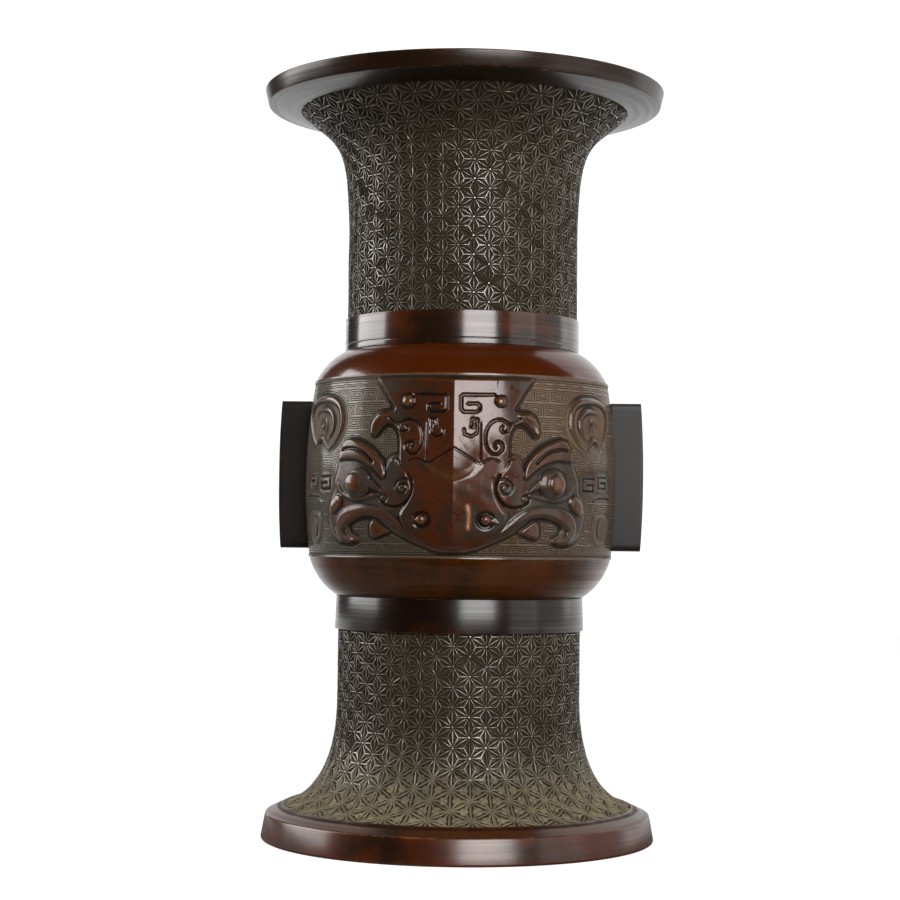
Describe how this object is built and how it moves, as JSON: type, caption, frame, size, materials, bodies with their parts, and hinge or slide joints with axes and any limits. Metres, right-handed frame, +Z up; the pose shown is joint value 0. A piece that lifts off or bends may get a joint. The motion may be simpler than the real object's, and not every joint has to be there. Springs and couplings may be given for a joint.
{
  "type": "bronze beaker vase",
  "caption": "Tall flared bronze gu vase: trumpet neck and foot with raised diaper, collared bulb with relief mask band and plain side flanges, hollow inside.",
  "frame": {"origin": "centre of the foot ring's standing plane", "axes": "+Z up along the vase's turning axis, the front mask faces -Y, the side flanges lie along X"},
  "size_m": [0.1616, 0.1616, 0.3],
  "materials": {
    "turned_bronze": "turned and burnished, dark red-brown patina",
    "diaper_bronze": "cast diaper, rubbed ridges over a dusty olive-grey patina",
    "relief_bronze": "cast relief, worn brown on the high points, grey-green in the ground",
    "flange_bronze": "filed plain, dark grey patina",
    "base_bronze": "as cast, dull dark patina"
  },
  "bodies": {
    "root": {"foot_ring": "turned_bronze", "base_plate": "base_bronze", "foot": "diaper_bronze", "lower_collar": "turned_bronze", "lower_shoulder": "turned_bronze", "mask_drum": "relief_bronze", "left_flange": "flange_bronze", "right_flange": "flange_bronze", "flange_pegs": "base_bronze", "shoulder": "turned_bronze", "upper_collar": "turned_bronze", "neck": "diaper_bronze", "mouth_rim": "turned_bronze"}
  },
  "joints": []
}
